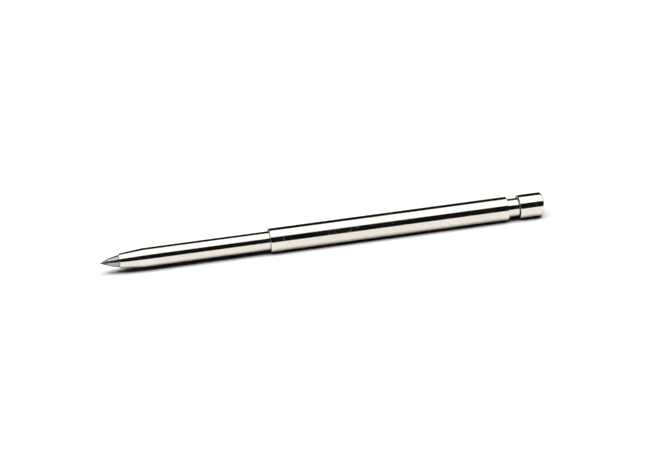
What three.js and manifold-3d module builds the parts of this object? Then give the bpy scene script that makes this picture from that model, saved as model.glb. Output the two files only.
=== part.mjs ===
// A pocket scriber built like a clutch pencil, in millimetres, +Z up.
//
// A carbide-tipped steel point is gripped by a slit collet in the nose of the front tube. The collet
// is screwed into a long chuck tube, and a compression spring pulls that tube backwards, so the
// collet's fingers wedge shut in the nose. Pushing the end cap towards the barrel carries chuck tube
// and collet forwards, the fingers spring open, and the point can slide in or out.
//
// The tool lies along X with its point towards -X and its end cap towards +X. The origin is the
// middle of the tool's length, on the surface it lies on. Every turned piece is described by pairs
// [station, radius], where the station is the distance behind the tip of the closed, unpushed tool.

import * as THREE from "three";
import { mergeVertices } from "three/addons/utils/BufferGeometryUtils.js";
import Module from "manifold-3d";

const wasm = await Module();
wasm.setup();

// ---- driving dimensions -------------------------------------------------------------------------

const LENGTH = 150; // tip to end face
const BARREL_R = 4.1;
const BARREL_BORE_R = 3.3;
const FRONT_R = 3.25; // front tube, a light press fit in the barrel
const NECK_R = 3.2; // plunger stem, a sliding fit in the barrel
const POINT_R = 0.9; // steel shank and carbide insert
const CHUCK_TUBE_R = 2.0;
const SPRING_BORE_R = 2.9; // inside of the front tube, where the spring works

const NOSE_RIM_R = 2.45; // front rim of the taper that is turned on the front tube
const NOSE_RIM_S = 6.4; // stations along the tool, from the tip
const NOSE_BASE_S = 14.4;
const STEP_S = 56.3; // front edge of the barrel
const BARREL_END_S = 137.7;
const CAP_S = 141.4; // front shoulder of the end cap; the push of 3.5 mm leaves 0.2 mm in front of it
const PRESS_LENGTH = 14; // how far the front tube reaches into the barrel

const JAW_FRONT_S = 2.4;
const JAW_ROOT_S = 19.4; // where the fingers bend, still behind the washer when pushed
const JAW_COUNT = 3;
const SLOT_W = 0.35; // slot between two fingers of the collet
const GRIP_R = 0.95; // bore that the closed fingers leave for the point

const WIRE_R = 0.275; // return spring
const SPRING_R = 2.5; // mean radius of its coils
const SPRING_TURNS = 10; // open turns, between two closed end turns
const STEPS_PER_TURN = 14;
const GAP = 0.05; // between pieces that touch

const OUTER_SIDES = 32; // facets round the outer pieces, one of them flat underneath
const INNER_SIDES = 24;
const AXIS_Z = BARREL_R * Math.cos(Math.PI / OUTER_SIDES);

// ---- materials ----------------------------------------------------------------------------------

const metal = (color, roughness) => new THREE.MeshStandardMaterial({ color, roughness, metalness: 1 });
const brightNickel = metal(0xd6d2cb, 0.12);
const hardenedSteel = metal(0x8d8f92, 0.3);
const groundCarbide = metal(0x56575a, 0.38);
const springSteel = metal(0x77797c, 0.28);
const turnedBrass = metal(0xc2a15a, 0.26);

// ---- helpers ------------------------------------------------------------------------------------

const tool = new THREE.Group();
tool.position.set(-LENGTH / 2, 0, AXIS_Z);

/** Adds a geometry that is already placed by station along X, with the tool's axis as its axis. */
function add(name, geometry, material) {
  const mesh = new THREE.Mesh(geometry, material);
  mesh.name = name;
  tool.add(mesh);
}

/** The closed surface of a profile of [station, radius] pairs turned about X. */
function turned(profile, sides) {
  const points = profile.map(([station, radius]) => new THREE.Vector2(radius, station));
  const lathe = new THREE.LatheGeometry(points, sides, Math.PI / sides);
  return lathe.rotateZ(-Math.PI / 2);
}

/** A ring or tube: its outer profile from front to back, and its bore from back to front. */
function tube(outer, bore, sides) {
  return turned([...outer, ...bore, outer[0]], sides);
}

/** A plain washer or bush with small chamfers on its outer edges. */
function ring(front, back, innerR, outerR, chamfer, sides) {
  const outer = [
    [front, innerR],
    [front, outerR - chamfer],
    [front + chamfer, outerR],
    [back - chamfer, outerR],
    [back, outerR - chamfer],
    [back, innerR],
  ];
  return tube(outer, [], sides);
}

/** Points of an arc about a centre at [station, radius], from one angle to another, both ends included. */
function roundedEdge(centreS, centreR, radius, fromDeg, toDeg, steps) {
  return Array.from({ length: steps + 1 }, (_, i) => {
    const angle = THREE.MathUtils.degToRad(fromDeg + ((toDeg - fromDeg) * i) / steps);
    return [centreS + radius * Math.cos(angle), centreR + radius * Math.sin(angle)];
  });
}

function toSolid(geometry) {
  const plain = geometry.clone();
  plain.deleteAttribute("normal");
  plain.deleteAttribute("uv");
  const merged = mergeVertices(plain);
  const triVerts = new Uint32Array(merged.index.array);
  const vertProperties = merged.attributes.position.array;
  return new wasm.Manifold(new wasm.Mesh({ numProp: 3, vertProperties, triVerts }));
}

function toGeometry(solid) {
  const mesh = solid.getMesh();
  const geometry = new THREE.BufferGeometry();
  geometry.setAttribute("position", new THREE.BufferAttribute(mesh.vertProperties, 3));
  geometry.setIndex(new THREE.BufferAttribute(mesh.triVerts, 1));
  return geometry;
}

// ---- the point ----------------------------------------------------------------------------------

const CONE_LENGTH = 2.0;
const INSERT_BACK_S = 8.0; // the carbide shows as far as here, and its spigot goes on into the shank
const SPIGOT_R = 0.5;
const SPIGOT_BACK_S = 12.0;
const SOCKET_R = SPIGOT_R + GAP;
const SHANK_BACK_S = 62;

function scribingTip() {
  const profile = [
    [0, 0],
    [CONE_LENGTH, POINT_R],
    [INSERT_BACK_S, POINT_R],
    [INSERT_BACK_S, SPIGOT_R],
    [SPIGOT_BACK_S, SPIGOT_R],
    [SPIGOT_BACK_S, 0],
  ];
  return turned(profile, INNER_SIDES);
}

function pointShank() {
  const socketBack = SPIGOT_BACK_S + GAP;
  const profile = [
    [socketBack, 0],
    [socketBack, SOCKET_R],
    [INSERT_BACK_S + GAP, SOCKET_R],
    [INSERT_BACK_S + GAP, POINT_R],
    [SHANK_BACK_S - 0.5, POINT_R],
    [SHANK_BACK_S, POINT_R - 0.4],
    [SHANK_BACK_S, 0],
  ];
  return turned(profile, INNER_SIDES);
}

add("scribing_tip", scribingTip(), groundCarbide);
add("point_shank", pointShank(), hardenedSteel);

// ---- the collet ---------------------------------------------------------------------------------

const JAW_HEAD_R = 1.97;
const JAW_SHANK_R = 1.32;
const STEM_BACK_S = 26.4;
const STEM_R = 1.45;
const STEM_COLLAR_R = 1.7;

/** All the fingers as one ring, before it is slit. */
function jawRing() {
  const outer = [
    [JAW_FRONT_S, GRIP_R],
    [JAW_FRONT_S, 1.15],
    [5.5, 1.9],
    [5.8, JAW_HEAD_R],
    [6.3, JAW_HEAD_R],
    [7.95, 1.62],
    [8.4, JAW_SHANK_R],
    [JAW_ROOT_S, JAW_SHANK_R],
  ];
  const bore = [
    [JAW_ROOT_S, GRIP_R + 0.07],
    [8.6, GRIP_R + 0.07],
    [8.3, GRIP_R],
  ];
  return toSolid(tube(outer, bore, INNER_SIDES));
}

/** The wedge of space that one finger keeps: a sector whose two flat sides stand back from the slots. */
function fingerSector(turn) {
  const half = Math.PI / JAW_COUNT;
  const reach = 4;
  const apex = SLOT_W / 2 / Math.sin(half); // where the two slot sides meet
  const sector = new THREE.Shape();
  sector.moveTo(apex, 0);
  sector.lineTo(apex + reach * Math.cos(half), -reach * Math.sin(half));
  sector.lineTo(apex + reach * 1.5, 0);
  sector.lineTo(apex + reach * Math.cos(half), reach * Math.sin(half));
  sector.closePath();
  const prism = new THREE.ExtrudeGeometry(sector, { depth: JAW_ROOT_S + 2, bevelEnabled: false });
  prism.rotateZ(turn).rotateY(Math.PI / 2);
  return toSolid(prism);
}

for (let i = 0; i < JAW_COUNT; i++) {
  const finger = jawRing().intersect(fingerSector(Math.PI + (i * 2 * Math.PI) / JAW_COUNT));
  add(`collet_jaw_${i + 1}`, toGeometry(finger), hardenedSteel);
}

function colletStem() {
  const front = JAW_ROOT_S + 0.3;
  const shoulder = front + 0.9;
  const outer = [
    [front, GRIP_R + 0.07],
    [front, JAW_SHANK_R],
    [front + 0.3, STEM_COLLAR_R],
    [shoulder, STEM_COLLAR_R],
    [shoulder, STEM_R],
    [STEM_BACK_S - 0.2, STEM_R],
    [STEM_BACK_S, STEM_R - 0.2],
  ];
  return tube(outer, [[STEM_BACK_S, GRIP_R + 0.07]], INNER_SIDES);
}

add("collet_stem", colletStem(), hardenedSteel);

// ---- the front tube, with the nose turned on its end --------------------------------------------

const FRONT_BACK_S = STEP_S + PRESS_LENGTH;
const SEAT_BACK_S = 8.0;
const NOSE_BORE_R = 1.75;
const NOSE_MOUTH_R = 2.05; // the bore widens towards the rim, to take the collet's head
const SPRING_SEAT_S = 15.5; // shoulder that the spring pushes against

function frontTube() {
  const outer = [
    [NOSE_RIM_S, NOSE_MOUTH_R],
    [NOSE_RIM_S, NOSE_RIM_R - 0.12],
    [NOSE_RIM_S + 0.12, NOSE_RIM_R],
    [NOSE_BASE_S - 1, FRONT_R - 0.15],
    [NOSE_BASE_S, FRONT_R - 0.05],
    [NOSE_BASE_S + 1, FRONT_R],
    [FRONT_BACK_S - 0.4, FRONT_R],
    [FRONT_BACK_S, FRONT_R - 0.3],
  ];
  const bore = [
    [FRONT_BACK_S, SPRING_BORE_R],
    [SPRING_SEAT_S, SPRING_BORE_R],
    [SPRING_SEAT_S, NOSE_BORE_R],
    [SEAT_BACK_S, NOSE_BORE_R],
  ];
  return tube(outer, bore, OUTER_SIDES);
}

add("front_tube", frontTube(), brightNickel);

// ---- the spring and what it works on ------------------------------------------------------------

const WASHER_T = 0.5;
const THRUST_S = 40.0; // front face of the thrust washer
const COLLAR_S = THRUST_S + WASHER_T + GAP;
const COLLAR_LENGTH = 4.0;

const seatWasher = ring(SPRING_SEAT_S + GAP, SPRING_SEAT_S + GAP + WASHER_T, 1.6, 2.8, 0.08, INNER_SIDES);
add("spring_seat_washer", seatWasher, hardenedSteel);
const thrustWasher = ring(THRUST_S, THRUST_S + WASHER_T, CHUCK_TUBE_R + 0.1, 2.8, 0.08, INNER_SIDES);
add("thrust_washer", thrustWasher, hardenedSteel);
const springCollar = ring(COLLAR_S, COLLAR_S + COLLAR_LENGTH, CHUCK_TUBE_R + GAP, 2.8, 0.25, INNER_SIDES);
add("spring_collar", springCollar, turnedBrass);

/** The spring's centre line: a helix whose first and last turns lie closed against their neighbours. */
class SpringLine extends THREE.Curve {
  constructor(front, back) {
    super();
    this.front = front;
    this.closedPitch = 2 * WIRE_R + GAP;
    this.openPitch = (back - front - 2 * this.closedPitch) / SPRING_TURNS;
    this.turns = SPRING_TURNS + 2;
  }

  getPoint(t, target = new THREE.Vector3()) {
    const turn = t * this.turns;
    const closedTurns = Math.min(turn, 1) + Math.max(turn - this.turns + 1, 0);
    const along = this.front + closedTurns * this.closedPitch + (turn - closedTurns) * this.openPitch;
    const angle = 2 * Math.PI * turn;
    return target.set(along, SPRING_R * Math.cos(angle), SPRING_R * Math.sin(angle));
  }
}

function returnSpring() {
  const front = SPRING_SEAT_S + GAP + WASHER_T + GAP + WIRE_R;
  const line = new SpringLine(front, THRUST_S - GAP - WIRE_R);
  const section = new THREE.Shape();
  section.absarc(0, 0, WIRE_R, 0, 2 * Math.PI, false);
  const steps = line.turns * STEPS_PER_TURN;
  return new THREE.ExtrudeGeometry(section, { steps, curveSegments: 4, extrudePath: line });
}

add("return_spring", returnSpring(), springSteel);

// ---- the chuck tube and the bush that guides it -------------------------------------------------

const CHUCK_FRONT_S = JAW_ROOT_S + 0.3 + 0.9 + GAP;
const CHUCK_BACK_S = 131;
const CHUCK_BORE_R = 1.2;

function chuckTube() {
  const outer = [
    [CHUCK_FRONT_S, STEM_R + GAP],
    [CHUCK_FRONT_S, CHUCK_TUBE_R - 0.15],
    [CHUCK_FRONT_S + 0.15, CHUCK_TUBE_R],
    [CHUCK_BACK_S - 0.2, CHUCK_TUBE_R],
    [CHUCK_BACK_S, CHUCK_TUBE_R - 0.2],
  ];
  const bore = [
    [CHUCK_BACK_S, CHUCK_BORE_R],
    [STEM_BACK_S + 0.4, CHUCK_BORE_R],
    [STEM_BACK_S + 0.4, STEM_R + GAP],
  ];
  return tube(outer, bore, INNER_SIDES);
}

add("chuck_tube", chuckTube(), turnedBrass);

const BUSH_S = FRONT_BACK_S + GAP;
const BUSH_LENGTH = 6;
const centreBush = ring(BUSH_S, BUSH_S + BUSH_LENGTH, CHUCK_TUBE_R + 0.12, FRONT_R, 0.3, OUTER_SIDES);
add("centre_bush", centreBush, turnedBrass);

// ---- the barrel ---------------------------------------------------------------------------------

function barrel() {
  const edge = 0.3;
  const outer = [
    [STEP_S, BARREL_BORE_R],
    ...roundedEdge(STEP_S + edge, BARREL_R - edge, edge, 180, 90, 3),
    ...roundedEdge(BARREL_END_S - edge, BARREL_R - edge, edge, 90, 0, 3),
  ];
  return tube(outer, [[BARREL_END_S, BARREL_BORE_R]], OUTER_SIDES);
}

add("barrel", barrel(), brightNickel);

// ---- the plunger stem and the end cap -----------------------------------------------------------

const STEM_FRONT_S = 122;
const CAP_THREAD_R = 2.6;
const CAP_THREAD_LENGTH = 4.6;
const CAP_EDGE = 0.8; // round-over at the end of the cap

function plungerStem() {
  const threadBack = CAP_S + CAP_THREAD_LENGTH;
  const outer = [
    [STEM_FRONT_S, CHUCK_TUBE_R + GAP],
    [STEM_FRONT_S, NECK_R - 0.3],
    [STEM_FRONT_S + 0.3, NECK_R],
    [CAP_S - GAP, NECK_R],
    [CAP_S - GAP, CAP_THREAD_R],
    [threadBack - 0.3, CAP_THREAD_R],
    [threadBack, CAP_THREAD_R - 0.3],
  ];
  const bore = [
    [threadBack, CHUCK_BORE_R],
    [CHUCK_BACK_S + GAP, CHUCK_BORE_R],
    [CHUCK_BACK_S + GAP, CHUCK_TUBE_R + GAP],
  ];
  return tube(outer, bore, OUTER_SIDES);
}

function endCap() {
  const boreR = CAP_THREAD_R + 0.06;
  const boreBack = CAP_S + CAP_THREAD_LENGTH + 0.5;
  const profile = [
    [boreBack, 0],
    [boreBack, boreR],
    [CAP_S, boreR],
    [CAP_S, NECK_R + 0.1],
    [CAP_S + 0.25, BARREL_R - 0.1],
    [CAP_S + 0.4, BARREL_R],
    ...roundedEdge(LENGTH - CAP_EDGE, BARREL_R - CAP_EDGE, CAP_EDGE, 90, 0, 6),
    [LENGTH, 0],
  ];
  return turned(profile, OUTER_SIDES);
}

add("plunger_stem", plungerStem(), brightNickel);
add("end_cap", endCap(), brightNickel);

const scriber = new THREE.Group();
scriber.add(tool);

export default scriber;
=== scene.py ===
"""A slim nickel-plated pocket scriber lying on a pale table.

The tool lies along X with its point towards -X. Every turned piece is described by corners
(station, radius, edge radius) in millimetres: a station is the distance behind the tip of the closed
tool, and a radius is measured from the tool's axis. The pieces are surfaces worked out with numpy, and
each takes the place and size of the solid it stands for.
"""

import math

import bpy
import numpy as np
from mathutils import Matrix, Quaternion, Vector


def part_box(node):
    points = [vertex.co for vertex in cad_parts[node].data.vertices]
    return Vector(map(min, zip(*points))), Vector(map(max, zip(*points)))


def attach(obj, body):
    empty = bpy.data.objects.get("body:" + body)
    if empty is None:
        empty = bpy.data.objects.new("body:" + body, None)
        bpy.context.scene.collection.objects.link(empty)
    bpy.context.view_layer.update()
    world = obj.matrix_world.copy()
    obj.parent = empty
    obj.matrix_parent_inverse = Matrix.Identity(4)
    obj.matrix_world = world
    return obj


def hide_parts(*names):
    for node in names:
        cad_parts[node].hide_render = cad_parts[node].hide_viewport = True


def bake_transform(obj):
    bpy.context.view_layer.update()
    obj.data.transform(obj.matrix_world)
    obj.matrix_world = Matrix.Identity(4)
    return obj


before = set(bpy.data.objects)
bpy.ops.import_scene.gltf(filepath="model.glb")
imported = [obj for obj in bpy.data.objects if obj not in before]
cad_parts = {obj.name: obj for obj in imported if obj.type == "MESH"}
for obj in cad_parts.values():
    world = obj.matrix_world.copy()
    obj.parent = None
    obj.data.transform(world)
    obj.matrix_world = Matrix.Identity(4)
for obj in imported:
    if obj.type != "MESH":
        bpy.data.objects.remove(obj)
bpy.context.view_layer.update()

MM = 0.001
FINE_SIDES = 256  # steps round the larger pieces
SMALL_SIDES = 144  # steps round the smaller ones

TIP_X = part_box("scribing_tip")[0].x
AXIS_Z = (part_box("barrel")[0].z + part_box("barrel")[1].z) / 2


def ends(node):
    """The front and back stations of a solid."""
    low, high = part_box(node)
    return (low.x - TIP_X) / MM, (high.x - TIP_X) / MM


def round_radius(node):
    """The radius of the round piece that touches its solid's flats from inside."""
    low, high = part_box(node)
    return (high.y - low.y) / 2 / MM


# ---- surfaces -----------------------------------------------------------------------------------


def arc_at(before, corner, after, edge, steps=6):
    """The points of the arc that rounds a corner, and 1 for each if the corner points outwards, else 0.

    The arc touches both lines at edge radius times the tangent of half the turn from the corner, and no
    further than 45% along either line.
    """
    enter, leave = corner - before, after - corner
    room = 0.45 * min(np.linalg.norm(enter), np.linalg.norm(leave))
    enter, leave = enter / np.linalg.norm(enter), leave / np.linalg.norm(leave)
    cross = enter[0] * leave[1] - enter[1] * leave[0]
    turn = math.atan2(cross, float(enter @ leave))
    reach = min(edge * math.tan(abs(turn) / 2), room)
    size = reach / math.tan(abs(turn) / 2)
    side = math.copysign(1.0, turn)
    to_left = np.array([-enter[1], enter[0]])
    centre = corner - enter * reach + side * size * to_left
    angle = np.linspace(0.0, turn, steps + 1)[:, None]
    outwards = -side * size * (to_left * np.cos(angle) - enter * np.sin(angle))
    return centre + outwards, np.full(steps + 1, 1.0 if turn < 0 else 0.0)


def rounded(corners, ring, longest, thread=None):
    """A profile with its corners rounded and its straight runs cut into steps no longer than `longest`,
    or than a tenth of the pitch on the run that carries a thread.

    A ring's profile closes on itself. Any other keeps its first and last points as they are.
    """
    spots = np.array([corner[:2] for corner in corners], float)
    points, wear = [], []
    for i, corner in enumerate(corners):
        if not ring and i in (0, len(corners) - 1):
            points.append(spots[i][None])
            wear.append(np.zeros(1))
            continue
        arc, worn = arc_at(spots[i - 1], spots[i], spots[(i + 1) % len(spots)], corner[2])
        points.append(arc)
        wear.append(worn)
    points, wear = np.concatenate(points), np.concatenate(wear)
    if ring:
        points, wear = np.concatenate([points, points[:1]]), np.append(wear, wear[0])
    run = np.linalg.norm(np.diff(points, axis=0), axis=1)
    limit = np.full(len(run), float(longest))
    if thread:
        middle = (points[1:] + points[:-1]) / 2
        along, out = middle.T
        on_it = (along > thread[0]) & (along < thread[1]) & (abs(out - thread[2]) < 1e-3)
        limit[on_it] = thread[3] / 10
    cuts = np.maximum(1, np.ceil(run / limit)).astype(int)
    first = np.repeat(np.arange(len(run)), cuts)
    share = np.concatenate([np.arange(n) / n for n in cuts])[:, None]
    cut_points = points[first] + (points[first + 1] - points[first]) * share
    cut_wear = np.where(share[:, 0] == 0, wear[first], 0.0)
    if ring:
        return cut_points, cut_wear
    return np.concatenate([cut_points, points[-1:]]), np.append(cut_wear, wear[-1])


def placed(station, across, up):
    """Places in metres in the model's frame, from stations and offsets from the axis in millimetres."""
    return np.stack([TIP_X + station * MM, across * MM, AXIS_Z + up * MM], axis=-1)


def grid_faces(index, close_rows, close_columns):
    """The quads of a grid of vertex numbers, one row of them for each pair of neighbouring rows."""
    below = np.roll(index, -1, axis=0) if close_rows else index[1:]
    above = index if close_rows else index[:-1]
    if close_columns:
        corners = [above, np.roll(above, -1, axis=1), np.roll(below, -1, axis=1), below]
    else:
        corners = [above[:, :-1], above[:, 1:], below[:, 1:], below[:, :-1]]
    return np.stack([c.ravel() for c in corners], axis=1)


def make_piece(name, vertices, quads, wear=None, uv=None):
    """A smooth mesh object from vertices and quads.

    A quad with a repeated corner becomes a triangle. If the volume that the faces enclose is negative,
    they are all turned over. Each vertex's normal is the sum of its faces' normals times their areas, so a
    long flat run keeps its own normal right up to a narrow rounded edge.
    """
    a, b, c, d = (vertices[quads[:, k]] for k in range(4))
    volume = np.einsum("ij,ij->", a, np.cross(b, c)) + np.einsum("ij,ij->", a, np.cross(c, d))
    if volume < 0:
        quads = quads[:, ::-1]
        uv = None if uv is None else uv[:, ::-1]
    area = np.cross(*[vertices[quads[:, k + 2]] - vertices[quads[:, k]] for k in (0, 1)])
    normals = np.zeros_like(vertices)
    for k in range(4):
        np.add.at(normals, quads[:, k], area)
    normals /= np.maximum(np.linalg.norm(normals, axis=1, keepdims=True), 1e-20)

    keep = quads != np.roll(quads, 1, axis=1)
    mesh = bpy.data.meshes.new(name)
    mesh.vertices.add(len(vertices))
    mesh.vertices.foreach_set("co", vertices.astype(np.float32).ravel())
    mesh.loops.add(int(keep.sum()))
    mesh.loops.foreach_set("vertex_index", quads[keep].astype(np.int32))
    mesh.polygons.add(len(quads))
    mesh.polygons.foreach_set("loop_start", np.append(0, np.cumsum(keep.sum(axis=1))[:-1]).astype(np.int32))
    mesh.polygons.foreach_set("use_smooth", np.ones(len(quads), bool))
    mesh.update(calc_edges=True)
    if wear is not None:
        layer = mesh.attributes.new("edge_wear", "FLOAT", "POINT")
        layer.data.foreach_set("value", wear.astype(np.float32))
    if uv is not None:
        mesh.uv_layers.new(name="along_the_wire").data.foreach_set("uv", uv[keep].astype(np.float32).ravel())
    mesh.normals_split_custom_set_from_vertices(normals.tolist())
    piece = bpy.data.objects.new(name, mesh)
    bpy.context.scene.collection.objects.link(piece)
    return piece


def thread_cut(station, radius, turn, thread):
    """How much a thread cuts off each point of a turned surface.

    The depth times a triangle wave of (station over pitch, plus the turn as a share of a full one), which
    is a right-hand thread. It fades out over one pitch at both ends, and is only on the outer surface that
    the thread is cut in.
    """
    start, stop, outer_radius, pitch, depth = thread
    phase = (station / pitch + turn / (2 * math.pi)) % 1.0
    wave = 1.0 - np.abs(2.0 * phase - 1.0)
    fade = np.clip(np.minimum(station - start, stop - station) / pitch, 0.0, 1.0)
    on_it = np.abs(radius - outer_radius) < 1e-3
    return depth * wave * fade * on_it


def turned(name, corners, ring=False, sides=FINE_SIDES, longest=4.0, thread=None):
    """The surface of a profile turned about the tool's axis.

    At each turn angle the profile's radius is laid out sideways by its sine and upwards by its cosine. A
    point on the axis is one vertex, where the surface closes.
    """
    profile, worn = rounded(corners, ring, longest, thread)
    turn = np.arange(sides) * (2 * math.pi / sides)
    station = np.repeat(profile[:, :1], sides, axis=1)
    radius = np.repeat(profile[:, 1:], sides, axis=1)
    if thread:
        radius = radius - thread_cut(station, radius, turn, thread)
    surface = placed(station, radius * np.sin(turn), radius * np.cos(turn)).reshape(-1, 3)
    index = np.arange(len(surface)).reshape(len(profile), sides)
    if not ring:
        index[0], index[-1] = index[0, 0], index[-1, 0]
    used, compact = np.unique(index, return_inverse=True)
    quads = grid_faces(compact.reshape(index.shape), ring, True)
    return make_piece(name, surface[used], quads, np.repeat(worn, sides)[used])


def finger(name, outer, bore, slot_width, fingers, place):
    """One finger of a slit collet.

    Outer and bore are lists of (station, radius). At each station the finger is the part of the ring that
    lies inside its share of the circle, less half a slot's width at each side, with a small chamfer along
    its four long edges. Its two ends are closed by quads from the outer arc to the bore.
    """
    steps, chamfer = 28, 0.03
    outer, bore = np.array(outer), np.array(bore)
    station = np.unique(np.concatenate([outer[:, 0], bore[:, 0], np.linspace(outer[0, 0], outer[-1, 0], 40)]))
    outer_r = np.interp(station, outer[:, 0], outer[:, 1])[:, None]
    bore_r = np.interp(station, bore[:, 0], bore[:, 1])[:, None]
    half = math.pi / fingers
    share = np.linspace(-1.0, 1.0, steps)

    def edge_angle(radius, back):
        return half - np.arcsin((slot_width / 2 + back) / radius)

    def arc(radius, cut):
        rim = edge_angle(radius + cut, 0.0)
        angles = np.concatenate([-rim, share * edge_angle(radius, chamfer), rim], axis=1)
        radii = np.concatenate([radius + cut, np.repeat(radius, steps, axis=1), radius + cut], axis=1)
        return angles, radii

    out_angle, out_radius = arc(outer_r, -chamfer)
    in_angle, in_radius = arc(bore_r, chamfer)
    angle = np.concatenate([out_angle, in_angle[:, ::-1]], axis=1) + place
    radius = np.concatenate([out_radius, in_radius[:, ::-1]], axis=1)
    along = np.repeat(station[:, None], angle.shape[1], axis=1)
    surface = placed(along, radius * np.sin(angle), radius * np.cos(angle)).reshape(-1, 3)
    index = np.arange(len(surface)).reshape(angle.shape)
    sides = grid_faces(index, False, True)
    count = steps + 2
    caps = [
        grid_faces(np.stack([index[row, :count], index[row, : count - 1 : -1]]), False, False)[:, ::turn_over]
        for row, turn_over in ((0, -1), (-1, 1))
    ]
    worn = np.zeros(angle.shape)
    worn[:, [0, count - 1, count, -1]] = 1.0
    worn[0] = 1.0
    return make_piece(name, surface, np.concatenate([sides, *caps]), worn.ravel())


def coil(name, front, back, coil_radius, wire_radius, open_turns, closed_pitch):
    """A compression spring with one closed turn at each end.

    Its line goes round at a steady rate. It moves back by the closed pitch for each turn of the two end
    turns and by the open pitch for each of the others, both eased into each other over a quarter turn. A
    circle of the wire's radius is carried along it, and each end is closed by a shallow dome.
    """
    turns, per_turn, round_wire = open_turns + 2, 64, 20
    steps = turns * per_turn
    turn = np.linspace(0.0, turns, steps + 1)
    open_pitch = (back - front - 2 * closed_pitch) / open_turns
    opened = np.clip((turn - 0.875) / 0.25, 0, 1) * np.clip((turns - 0.875 - turn) / 0.25, 0, 1)
    pitch = closed_pitch + (open_pitch - closed_pitch) * opened
    along = front + np.concatenate([[0], np.cumsum((pitch[1:] + pitch[:-1]) / 2 / per_turn)])
    along = front + (along - front) * (back - front) / (along[-1] - front)
    angle = 2 * math.pi * turn
    line = np.stack([along, coil_radius * np.cos(angle), coil_radius * np.sin(angle)], axis=1)
    ahead = np.gradient(line, axis=0)
    ahead /= np.linalg.norm(ahead, axis=1, keepdims=True)
    outwards = np.stack([np.zeros_like(angle), np.cos(angle), np.sin(angle)], axis=1)
    sideways = np.cross(ahead, outwards)
    around = np.arange(round_wire) * (2 * math.pi / round_wire)
    cosine, sine = np.cos(around)[None, :, None], np.sin(around)[None, :, None]
    ring = cosine * outwards[:, None] + sine * sideways[:, None]

    shrink = np.array([0.0, 0.55, 0.86, 1.0])
    push = np.array([0.3, 0.24, 0.12, 0.0]) * wire_radius
    rows = [line[0] - ahead[0] * push[k] + ring[0] * wire_radius * shrink[k] for k in range(3)]
    rows += list(line[:, None] + ring * wire_radius)
    rows += [line[-1] + ahead[-1] * push[k] + ring[-1] * wire_radius * shrink[k] for k in (2, 1, 0)]
    rows = np.array(rows)
    surface = placed(rows[..., 0], rows[..., 1], rows[..., 2]).reshape(-1, 3)
    index = np.arange(len(surface)).reshape(rows.shape[:2])
    index[0], index[-1] = index[0, 0], index[-1, 0]
    used, compact = np.unique(index, return_inverse=True)
    quads = grid_faces(compact.reshape(index.shape), False, True)
    row, column = np.divmod(np.arange(len(quads)), round_wire)
    length = np.concatenate([[0], np.cumsum(np.linalg.norm(np.diff(rows[:, 0], axis=0), axis=1))])
    u = np.stack([length[row], length[row], length[row + 1], length[row + 1]], axis=1)
    v = np.stack([column, column + 1, column + 1, column], axis=1) / round_wire
    return make_piece(name, surface[used], quads, uv=np.stack([u, v], axis=-1))


# ---- finishes -----------------------------------------------------------------------------------


def add_node(tree, kind, inputs=None, **settings):
    """A node with its settings, and with each named input set to a value or linked to a socket."""
    node = tree.nodes.new(kind)
    for name, value in settings.items():
        setattr(node, name, value)
    for name, value in (inputs or {}).items():
        if isinstance(value, bpy.types.NodeSocket):
            tree.links.new(value, node.inputs[name])
        else:
            node.inputs[name].default_value = value
    return node


def maths(tree, operation, a, b=0.0):
    """A Math node's output, for two values or sockets."""
    return add_node(tree, "ShaderNodeMath", {0: a, 1: b}, operation=operation).outputs[0]


def ramp(tree, value, low, high, to_low=0.0, to_high=1.0):
    """A value brought from low..high to to_low..to_high with eased ends."""
    limits = {"Value": value, "From Min": low, "From Max": high, "To Min": to_low, "To Max": to_high}
    return add_node(tree, "ShaderNodeMapRange", limits, interpolation_type="SMOOTHSTEP").outputs["Result"]


def noise(tree, place, scale, detail=3.0, roughness=0.55):
    """A soft noise from 0 to 1, read at a place."""
    settings = {"Vector": place, "Scale": scale, "Detail": detail, "Roughness": roughness}
    return add_node(tree, "ShaderNodeTexNoise", settings).outputs["Fac"]


def new_group(name, inputs, outputs):
    """A shader node group with its input and output nodes. Inputs are (name, socket type, value)."""
    tree = bpy.data.node_groups.new(name, "ShaderNodeTree")
    for socket_name, kind, value in inputs:
        socket = tree.interface.new_socket(socket_name, in_out="INPUT", socket_type=kind)
        if value is not None:
            socket.default_value = value
    for socket_name in outputs:
        tree.interface.new_socket(socket_name, in_out="OUTPUT", socket_type="NodeSocketFloat")
    return tree, tree.nodes.new("NodeGroupInput").outputs, tree.nodes.new("NodeGroupOutput").inputs


def turning_lines_group():
    """Fine rings round the axis, as a tool or a polishing wheel leaves them on a turned piece.

    Noise read at (place along the axis, distance from the axis), so that it changes along a cylinder and
    across an end face but not round the piece. Chatter is a coarser ring pattern of the same kind.
    """
    inputs = [("Place", "NodeSocketVector", None), ("Lines per metre", "NodeSocketFloat", 6000.0)]
    tree, given, result = new_group("turning_lines", inputs, ["Lines", "Chatter"])
    parts = add_node(tree, "ShaderNodeSeparateXYZ", {0: given["Place"]}).outputs
    across = add_node(tree, "ShaderNodeCombineXYZ", {"Y": parts["Y"], "Z": parts["Z"]}).outputs[0]
    radius = add_node(tree, "ShaderNodeVectorMath", {0: across}, operation="LENGTH").outputs["Value"]
    rings = add_node(tree, "ShaderNodeCombineXYZ", {"X": parts["X"], "Y": radius}).outputs[0]
    tree.links.new(noise(tree, rings, given["Lines per metre"], 4.0, 0.7), result["Lines"])
    coarse = maths(tree, "MULTIPLY", given["Lines per metre"], 0.06)
    tree.links.new(noise(tree, rings, coarse, 2.0, 0.5), result["Chatter"])
    return tree


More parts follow.
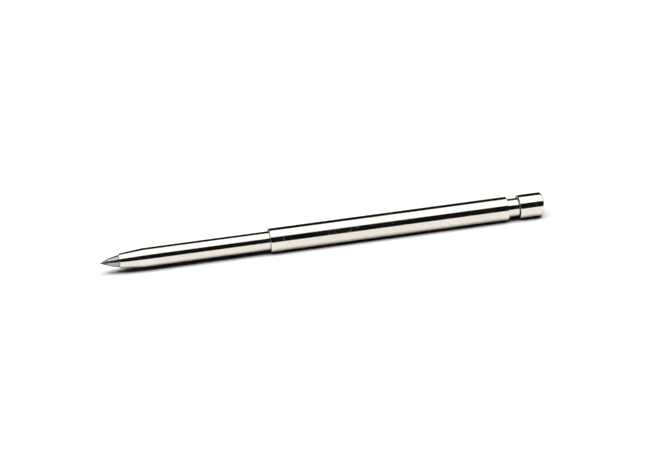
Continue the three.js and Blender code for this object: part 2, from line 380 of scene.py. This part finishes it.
def handling_group():
    """The marks of use, and the slow ripple that polishing leaves.

    Smudges are a few millimetres across. Scratches are the thin borders between long, slanted cells, kept
    only where a soft noise is high.
    """
    inputs = [("Place", "NodeSocketVector", None), ("Smudges per metre", "NodeSocketFloat", 150.0)]
    tree, given, result = new_group("handling_marks", inputs, ["Smudge", "Scratch", "Ripple"])
    soft = noise(tree, given["Place"], given["Smudges per metre"], 4.0, 0.6)
    tree.links.new(ramp(tree, soft, 0.46, 0.72), result["Smudge"])
    scratches = []
    for slant, stretch in ((0.35, (160.0, 1500.0, 1500.0)), (-0.8, (1300.0, 240.0, 1300.0))):
        leaning = {"Vector": given["Place"], "Rotation": (slant, slant / 2, slant), "Scale": stretch}
        long_cells = add_node(tree, "ShaderNodeMapping", leaning).outputs[0]
        reading = {"Vector": long_cells, "Scale": 1.0}
        cells = add_node(tree, "ShaderNodeTexVoronoi", reading, feature="DISTANCE_TO_EDGE")
        border = ramp(tree, cells.outputs["Distance"], 0.0, 0.03, 1.0, 0.0)
        where = ramp(tree, noise(tree, given["Place"], 420.0 + 90.0 * slant, 2.0), 0.55, 0.64)
        scratches.append(maths(tree, "MULTIPLY", border, where))
    tree.links.new(maths(tree, "MAXIMUM", *scratches), result["Scratch"])
    tree.links.new(noise(tree, given["Place"], 190.0, 1.5, 0.4), result["Ripple"])
    return tree


def edge_wear_group():
    """Where a rounded edge is rubbed: the piece's own edge mark, broken up by noise."""
    inputs = [("Place", "NodeSocketVector", None)]
    inputs += [("Edge", "NodeSocketFloat", 0.0), ("Amount", "NodeSocketFloat", 0.5)]
    tree, given, result = new_group("edge_wear", inputs, ["Worn"])
    patchy = ramp(tree, noise(tree, given["Place"], 1400.0, 4.0, 0.65), 0.35, 0.65, 0.35, 1.0)
    worn = maths(tree, "MULTIPLY", maths(tree, "MULTIPLY", given["Edge"], patchy), given["Amount"])
    tree.links.new(worn, result["Worn"])
    return tree


def painted_joint_shade_group():
    """A painted shade line in the joint where two pieces meet, as a thin broken dark line round the tool.

    It is full within a quarter of its reach of the corner's place along the axis, and gone beyond its reach.
    """
    inputs = [("Place", "NodeSocketVector", None)]
    inputs += [("Corner", "NodeSocketFloat", 0.0), ("Reach", "NodeSocketFloat", 0.0002)]
    tree, given, result = new_group("painted_joint_shade", inputs, ["Grime"])
    along = add_node(tree, "ShaderNodeSeparateXYZ", {0: given["Place"]}).outputs["X"]
    away = maths(tree, "ABSOLUTE", maths(tree, "SUBTRACT", along, given["Corner"]))
    share = maths(tree, "DIVIDE", away, given["Reach"])
    patchy = ramp(tree, noise(tree, given["Place"], 900.0, 3.0, 0.6), 0.3, 0.6, 0.7, 1.0)
    tree.links.new(maths(tree, "MULTIPLY", ramp(tree, share, 0.25, 1.0, 1.0, 0.0), patchy), result["Grime"])
    return tree


TURNING_LINES = turning_lines_group()
HANDLING = handling_group()
EDGE_WEAR = edge_wear_group()
PAINTED_JOINT_SHADE = painted_joint_shade_group()


def use_group(tree, group, inputs):
    """The outputs of a node group, with its inputs set or linked."""
    return add_node(tree, "ShaderNodeGroup", inputs, node_tree=group).outputs


def mixed(tree, share, a, b):
    """A colour between a and b. Inputs 6 and 7 are the Mix node's two colours."""
    node = add_node(tree, "ShaderNodeMix", data_type="RGBA")
    for socket, value in ((node.inputs["Factor"], share), (node.inputs[6], a), (node.inputs[7], b)):
        if isinstance(value, bpy.types.NodeSocket):
            tree.links.new(value, socket)
        else:
            socket.default_value = value if socket.type == "VALUE" else (*value, 1.0)
    return node.outputs[2]


RUBBED = 0.5  # how much of the worn colour a rubbed edge shows
# the near-black colour of the painted shade line in the joints between pieces
PAINTED_JOINT_SHADE_COLOUR = (0.035, 0.032, 0.03)
PAINTED_SHADE_COVER = 0.9  # how much of the plate the painted shade hides in a joint
PAINTED_SHADE_DULLS = 0.3  # what it adds to the roughness there


def metal(name, colour, toned, worn_colour, rough, grain, lines_per_metre, wire=False, corners=()):
    """A bare or plated metal.

    The colour drifts to the toned one in slow patches. On a wire the fine lines run along its length.
    Rough is (clean, smudged, scratched) roughness. Grain is (lines, chatter, ripple, scratches): the heights
    in metres of the fine rings, the coarse ones, the polisher's slow waves and the hairlines. Corners are
    (place along the axis, reach) in metres of the lines of painted shade in the joints, which also roughen
    the metal there.
    """
    material = bpy.data.materials.new(name)
    material.use_nodes = True
    tree = material.node_tree
    shader = tree.nodes["Principled BSDF"]
    shader.inputs["Metallic"].default_value = 1.0
    on_object = add_node(tree, "ShaderNodeTexCoord").outputs["Object"]
    centring = {"Vector": on_object, "Location": (0.0, 0.0, -AXIS_Z)}
    place = add_node(tree, "ShaderNodeMapping", centring).outputs[0]
    ringed = use_group(tree, TURNING_LINES, {"Place": place, "Lines per metre": lines_per_metre})
    lines = ringed["Lines"]
    if wire:
        flat = add_node(tree, "ShaderNodeUVMap", uv_map="along_the_wire").outputs[0]
        drawn = {"Vector": flat, "Scale": (0.5, 26.0, 1.0)}
        lines = noise(tree, add_node(tree, "ShaderNodeMapping", drawn).outputs[0], 3.0, 3.0, 0.6)
    handled = use_group(tree, HANDLING, {"Place": place, "Smudges per metre": 150.0})
    edge = add_node(tree, "ShaderNodeAttribute", attribute_name="edge_wear").outputs["Fac"]
    worn = use_group(tree, EDGE_WEAR, {"Place": place, "Edge": edge, "Amount": RUBBED})["Worn"]

    tone = ramp(tree, noise(tree, place, 55.0, 3.0, 0.5), 0.3, 0.7)
    base = mixed(tree, tone, colour, toned)
    base = mixed(tree, worn, base, worn_colour)
    # painted shade: a dark line mixed into the colour at each joint between pieces
    shaded_joints = None
    for corner, reach in corners:
        line = use_group(tree, PAINTED_JOINT_SHADE, {"Place": place, "Corner": corner, "Reach": reach})["Grime"]
        base = mixed(tree, maths(tree, "MULTIPLY", line, PAINTED_SHADE_COVER), base, PAINTED_JOINT_SHADE_COLOUR)
        shaded_joints = line if shaded_joints is None else maths(tree, "MAXIMUM", shaded_joints, line)
    tree.links.new(base, shader.inputs["Base Color"])

    smudged = maths(tree, "MULTIPLY", handled["Smudge"], rough[1] - rough[0])
    scratched = maths(tree, "MULTIPLY", handled["Scratch"], rough[2] - rough[0])
    lined = maths(tree, "MULTIPLY", lines, 0.35 * rough[0])
    marked = maths(tree, "ADD", smudged, scratched)
    clean = maths(tree, "ADD", lined, 0.8 * rough[0])
    roughness = maths(tree, "ADD", marked, clean)
    # the painted shade lines also make the metal a little rougher
    if shaded_joints is not None:
        roughness = maths(tree, "ADD", roughness, maths(tree, "MULTIPLY", shaded_joints, PAINTED_SHADE_DULLS))
    tree.links.new(roughness, shader.inputs["Roughness"])

    normal = None
    heights = ((lines, grain[0]), (ringed["Chatter"], grain[1]), (handled["Ripple"], grain[2]),
               (handled["Scratch"], -grain[3]))
    for height, size in heights:
        bump = add_node(tree, "ShaderNodeBump", {"Height": height, "Distance": abs(size)}, invert=size < 0)
        if normal is not None:
            tree.links.new(normal, bump.inputs["Normal"])
        normal = bump.outputs[0]
    tree.links.new(normal, shader.inputs["Normal"])
    return material


MICRON = 1e-6
# where the painted shade lines lie along the axis, at the cap's joint and the barrel's step, and how far they
# reach
CAP_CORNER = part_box("end_cap")[0].x + 0.12 * MM  # inside the cap's front bevel
STEP_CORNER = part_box("barrel")[0].x
CAP_REACH, STEP_REACH = 0.28 * MM, 0.14 * MM
NICKEL = metal(
    "bright_nickel", (0.70, 0.655, 0.59), (0.675, 0.63, 0.565), (0.78, 0.745, 0.69),
    (0.075, 0.15, 0.24), (0.5 * MICRON, 1.2 * MICRON, 4 * MICRON, 2 * MICRON), 7000.0,
    corners=((CAP_CORNER, CAP_REACH), (STEP_CORNER, STEP_REACH)),
)
STEEL = metal(
    "hardened_steel", (0.36, 0.36, 0.365), (0.30, 0.30, 0.31), (0.52, 0.52, 0.52),
    (0.11, 0.2, 0.3), (2 * MICRON, 2 * MICRON, 2 * MICRON, 2 * MICRON), 5000.0,
)
CARBIDE = metal(
    "ground_carbide", (0.15, 0.15, 0.155), (0.12, 0.12, 0.125), (0.26, 0.26, 0.26),
    (0.22, 0.3, 0.4), (2 * MICRON, 1 * MICRON, 1 * MICRON, 2 * MICRON), 9000.0,
)
SPRING_STEEL = metal(
    "spring_steel", (0.40, 0.41, 0.43), (0.33, 0.34, 0.36), (0.5, 0.5, 0.5),
    (0.22, 0.34, 0.4), (3 * MICRON, 0.5 * MICRON, 2 * MICRON, 1 * MICRON), 5000.0, wire=True,
)
BRASS = metal(
    "turned_brass", (0.80, 0.60, 0.27), (0.70, 0.49, 0.20), (0.88, 0.72, 0.40),
    (0.16, 0.3, 0.36), (3 * MICRON, 2 * MICRON, 2 * MICRON, 2 * MICRON), 4000.0,
)


# ---- the pieces ---------------------------------------------------------------------------------


def fit(piece, node, body, material):
    """Gives a piece its finish, and lets it stand for a solid and ride on that solid's body."""
    piece.data.materials.append(material)
    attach(piece, body)
    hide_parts(node)
    return piece


POINT_R = round_radius("scribing_tip")
BARREL_R = round_radius("barrel")
FRONT_R = round_radius("front_tube")
NECK_R = round_radius("plunger_stem")
CHUCK_R = round_radius("chuck_tube")
EDGE = 0.04  # the ordinary broken edge of a turned piece


def scribing_tip():
    front, back = ends("scribing_tip")
    cone, cylinder_back, blunt, spigot = 2.0, 8.0, 0.03, 0.5
    corners = [
        (front, 0.0),
        (front, blunt, 0.02),
        (cone, POINT_R, 0.3),
        (cylinder_back, POINT_R, EDGE),
        (cylinder_back, spigot, EDGE),
        (back, spigot, 0.1),
        (back, 0.0),
    ]
    piece = turned("carbide_tip", corners, sides=SMALL_SIDES, longest=0.5)
    return fit(piece, "scribing_tip", "point", CARBIDE)


def point_shank():
    front, back = ends("point_shank")
    socket_back, socket = 12.05, 0.55
    corners = [
        (socket_back, 0.0),
        (socket_back, socket, EDGE),
        (front, socket, EDGE),
        (front, POINT_R, EDGE),
        (back - 0.5, POINT_R, 0.2),
        (back, POINT_R - 0.4, 0.1),
        (back, 0.0),
    ]
    piece = turned("steel_shank", corners, sides=SMALL_SIDES)
    return fit(piece, "point_shank", "point", STEEL)


def collet_fingers():
    front, back = ends("collet_jaw_1")
    head, shank, grip, relief = 1.97, 1.32, 0.95, 1.02
    outline = [
        (front, 1.08),
        (front + 0.08, 1.17, 0.05),
        (5.5, 1.9, 0.6),
        (5.8, head, 0.3),
        (6.3, head, 0.15),
        (7.95, 1.62, 0.1),
        (8.4, shank, 0.3),
        (back, shank),
    ]
    bore = [(front, grip + 0.05), (front + 0.05, grip), (8.3, grip), (8.6, relief), (back, relief)]
    smooth_outline = rounded(outline, False, 0.5)[0]
    fingers, slot_width = 3, 0.35
    for number in range(fingers):
        place = number * 2 * math.pi / fingers
        name = f"collet_finger_{number + 1}"
        # the solids are numbered from the top towards the front
        piece = finger(name, smooth_outline, bore, slot_width, fingers, -place)
        fit(piece, f"collet_jaw_{number + 1}", f"finger_{number + 1}", STEEL)


def collet_stem():
    front, back = ends("collet_stem")
    shank, collar, thread_r, bore = 1.32, 1.7, 1.45, 1.02
    shoulder, pitch, depth = front + 0.9, 0.35, 0.18
    corners = [
        (front, bore, EDGE),
        (front, shank, EDGE),
        (front + 0.3, collar, 0.05),
        (shoulder, collar, EDGE),
        (shoulder, thread_r, EDGE),
        (back - 0.2, thread_r, 0.02),
        (back, thread_r - 0.2, EDGE),
        (back, bore, EDGE),
    ]
    thread = (shoulder + 0.1, back - 0.2, thread_r, pitch, depth)
    piece = turned("threaded_collet_stem", corners, True, SMALL_SIDES, thread=thread)
    return fit(piece, "collet_stem", "plunger", STEEL)


def plain_ring(name, node, bore, chamfer, body, material):
    """A washer, collar or bush: a ring with its outer edges bevelled."""
    front, back = ends(node)
    outer = round_radius(node)
    corners = [
        (front, bore, EDGE),
        (front, outer - chamfer, EDGE / 2),
        (front + chamfer, outer, EDGE / 2),
        (back - chamfer, outer, EDGE / 2),
        (back, outer - chamfer, EDGE / 2),
        (back, bore, EDGE),
    ]
    return fit(turned(name, corners, True, SMALL_SIDES), node, body, material)


def front_tube():
    front, back = ends("front_tube")
    rim, base, mouth, nose_bore, seat_back = 2.45, 14.4, 2.05, 1.75, 8.0
    spring_bore, shoulder, blend = 2.9, 15.5, 9.0
    corners = [
        (front, mouth, EDGE),
        (front, rim, 0.1),
        (base, FRONT_R, blend),
        (back - 0.4, FRONT_R, 0.1),
        (back, FRONT_R - 0.3, EDGE),
        (back, spring_bore, EDGE),
        (shoulder, spring_bore, 0.15),
        (shoulder, nose_bore, EDGE),
        (seat_back, nose_bore, 0.3),
    ]
    return fit(turned("nose_and_front_tube", corners, True), "front_tube", "housing", NICKEL)


def return_spring():
    front, back = ends("return_spring")
    wire_r, coil_r, open_turns, gap = 0.275, 2.5, 10, 0.05
    closed_pitch = 2 * wire_r + gap
    piece = coil("coil_spring", front + wire_r, back - wire_r, coil_r, wire_r, open_turns, closed_pitch)
    piece.data.materials.append(SPRING_STEEL)
    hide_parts("return_spring")
    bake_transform(piece)
    return piece


def chuck_tube():
    front, back = ends("chuck_tube")
    counterbore, counterbore_back, bore = 1.5, 26.8, 1.2
    corners = [
        (front, counterbore, EDGE),
        (front, CHUCK_R - 0.15, EDGE / 2),
        (front + 0.15, CHUCK_R, EDGE / 2),
        (back - 0.2, CHUCK_R, EDGE),
        (back, CHUCK_R - 0.2, EDGE),
        (back, bore, EDGE),
        (counterbore_back, bore, EDGE),
        (counterbore_back, counterbore, EDGE),
    ]
    piece = turned("long_chuck_tube", corners, True, SMALL_SIDES)
    return fit(piece, "chuck_tube", "plunger", BRASS)


def barrel():
    front, back = ends("barrel")
    bore = FRONT_R + 0.05
    corners = [(front, bore, EDGE), (front, BARREL_R, 0.3), (back, BARREL_R, 0.3), (back, bore, EDGE)]
    return fit(turned("plated_barrel", corners, True), "barrel", "housing", NICKEL)


def plunger_stem():
    front, back = ends("plunger_stem")
    shoulder, pitch, depth = ends("end_cap")[0] - 0.05, 0.5, 0.27
    thread_r, bore, socket, socket_back = 2.6, 1.2, CHUCK_R + 0.05, ends("chuck_tube")[1] + 0.05
    corners = [
        (front, socket, EDGE),
        (front, NECK_R - 0.3, EDGE),
        (front + 0.3, NECK_R, EDGE),
        (shoulder, NECK_R, EDGE),
        (shoulder, thread_r, EDGE),
        (back - 0.3, thread_r, EDGE),
        (back, thread_r - 0.3, EDGE),
        (back, bore, EDGE),
        (socket_back, bore, EDGE),
        (socket_back, socket, EDGE),
    ]
    thread = (shoulder + 0.1, back - 0.3, thread_r, pitch, depth)
    piece = turned("plunger_neck", corners, True, thread=thread)
    return fit(piece, "plunger_stem", "plunger", NICKEL)


def end_cap():
    front, back = ends("end_cap")
    socket, socket_back = 2.66, front + 5.1
    corners = [
        (socket_back, 0.0),
        (socket_back, socket, 0.15),
        (front, socket, EDGE),
        (front, NECK_R + 0.15, 0.03),
        (front + 0.3, BARREL_R, 0.2),
        (back, BARREL_R, 0.8),
        (back, 0.0),
    ]
    return fit(turned("push_cap", corners), "end_cap", "plunger", NICKEL)


scribing_tip()
point_shank()
collet_fingers()
collet_stem()
front_tube()
plain_ring("nose_washer", "spring_seat_washer", 1.6, 0.08, "housing", STEEL)
return_spring()
plain_ring("loose_washer", "thrust_washer", 2.1, 0.08, "thrust_ring", STEEL)
plain_ring("pressed_collar", "spring_collar", 2.05, 0.25, "plunger", BRASS)
chuck_tube()
plain_ring("guide_bush", "centre_bush", 2.12, 0.3, "housing", BRASS)
barrel()
plunger_stem()
end_cap()


# ---- table, lights and camera -------------------------------------------------------------------

LIGHT_HEIGHT = 1.5


def behind(angle):
    """How far behind the tool something hangs, from its angle above the front horizon.

    It is less than 0 for a thing in front of the tool.
    """
    return -LIGHT_HEIGHT / math.tan(math.radians(angle))


def plane(name, corners):
    """A flat four-cornered stage object from its corners in metres."""
    mesh = bpy.data.meshes.new(name)
    mesh.from_pydata(corners, [], [(0, 1, 2, 3)])
    sheet = bpy.data.objects.new(name, mesh)
    bpy.context.scene.collection.objects.link(sheet)
    return sheet


def table_top():
    """A pale table. Its paint is darker than it looks and the lamp is strong, so the shade stays deep."""
    reach, gap, grey = 4.0, 2e-6, 0.08
    level = AXIS_Z - BARREL_R * MM - gap
    corners = [(-reach, -reach, level), (reach, -reach, level), (reach, reach, level), (-reach, reach, level)]
    sheet = plane("table", corners)
    material = bpy.data.materials.new("pale_table")
    material.use_nodes = True
    tree = material.node_tree
    tree.nodes.clear()
    paint = add_node(tree, "ShaderNodeBsdfDiffuse", {"Color": (grey, grey, grey, 1.0)}).outputs[0]
    tree.links.new(paint, add_node(tree, "ShaderNodeOutputMaterial").inputs["Surface"])
    sheet.data.materials.append(material)


def glowing_card(name, corners, strength):
    """A glowing sheet that shows only as a reflection in the metal."""
    card = plane(name, corners)
    material = bpy.data.materials.new(name)
    material.use_nodes = True
    tree = material.node_tree
    tree.nodes.clear()
    white = {"Color": (1.0, 1.0, 1.0, 1.0), "Strength": strength}
    glow = add_node(tree, "ShaderNodeEmission", white).outputs[0]
    tree.links.new(glow, add_node(tree, "ShaderNodeOutputMaterial").inputs["Surface"])
    card.data.materials.append(material)
    card.visible_camera = card.visible_diffuse = card.visible_shadow = False
    card.visible_transmission = card.visible_volume_scatter = False


def soft_box(name, start, stop, width, watts):
    """A level area light over the tool, from one angle above the front horizon to another."""
    lamp = bpy.data.lights.new(name, "AREA")
    lamp.shape = "RECTANGLE"
    lamp.size, lamp.size_y = width, behind(stop) - behind(start)
    lamp.energy = watts
    light = bpy.data.objects.new(name, lamp)
    light.location = (0.0, (behind(start) + behind(stop)) / 2, LIGHT_HEIGHT)
    light.visible_camera = light.visible_glossy = False
    bpy.context.scene.collection.objects.link(light)


def room():
    """White to the eye, and dark to the table and in the metal, as a studio beyond its lights is."""
    world = bpy.data.worlds.new("studio")
    world.use_nodes = True
    tree = world.node_tree
    tree.nodes.clear()
    path = add_node(tree, "ShaderNodeLightPath").outputs
    seen, on_table, in_metal = (1.1, 1.1, 1.1), (0.02, 0.02, 0.02), (0.006, 0.008, 0.007)
    dark = mixed(tree, path["Is Glossy Ray"], on_table, in_metal)
    colour = mixed(tree, path["Is Camera Ray"], dark, seen)
    sky = add_node(tree, "ShaderNodeBackground", {"Color": colour}).outputs[0]
    tree.links.new(sky, add_node(tree, "ShaderNodeOutputWorld").inputs["Surface"])
    bpy.context.scene.world = world


def camera(azimuth, elevation, roll, distance, looked_at, lens):
    """A camera on a sphere round the point it looks at, rolled about its line of sight.

    Azimuth 0 looks along +Y.
    """
    eye = bpy.data.cameras.new("camera")
    eye.lens, eye.sensor_width = lens, 36.0
    eye.clip_start, eye.clip_end = 0.01, 20.0
    seat = bpy.data.objects.new("camera", eye)
    turn, rise = math.radians(azimuth), math.radians(elevation)
    back = Vector((math.sin(turn) * math.cos(rise), -math.cos(turn) * math.cos(rise), math.sin(rise)))
    seat.location = looked_at + back * distance
    seat.rotation_mode = "QUATERNION"
    level = (-back).to_track_quat("-Z", "Y")
    seat.rotation_quaternion = level @ Quaternion((0.0, 0.0, 1.0), math.radians(roll))
    bpy.context.scene.collection.objects.link(seat)
    bpy.context.scene.camera = seat


def overhead_sheet(start, stop, half_width):
    """The corners of a level sheet over the tool, from one angle above the front horizon to another."""
    near, far = behind(start), behind(stop)
    front_side = [(-half_width, near, LIGHT_HEIGHT), (half_width, near, LIGHT_HEIGHT)]
    return front_side + [(half_width, far, LIGHT_HEIGHT), (-half_width, far, LIGHT_HEIGHT)]


LAMP_FRONT, LAMP_BACK = 57.0, 105.0
LAMP_WIDTH, LAMP_POWER = 3.75, 700.0
SHEET_FRONT, SHEET_BACK = 51.5, 122.6
SHEET_HALF_WIDTH, SHEET_STRENGTH = 3.0, 1.7
CAMERA_AZIMUTH, CAMERA_ELEVATION, CAMERA_ROLL = -10.31, 24.0, -3.48
CAMERA_DISTANCE, CAMERA_LENS = 0.7, 117.77
CAMERA_AIM = Vector((-0.000651, 0.0, AXIS_Z + 0.000332))
table_top()
room()
soft_box("overhead_soft_box", LAMP_FRONT, LAMP_BACK, LAMP_WIDTH, LAMP_POWER)
glowing_card("white_sheet", overhead_sheet(SHEET_FRONT, SHEET_BACK, SHEET_HALF_WIDTH), SHEET_STRENGTH)
camera(CAMERA_AZIMUTH, CAMERA_ELEVATION, CAMERA_ROLL, CAMERA_DISTANCE, CAMERA_AIM, CAMERA_LENS)
bpy.context.scene.view_settings.view_transform = "Standard"

bpy.context.view_layer.update()
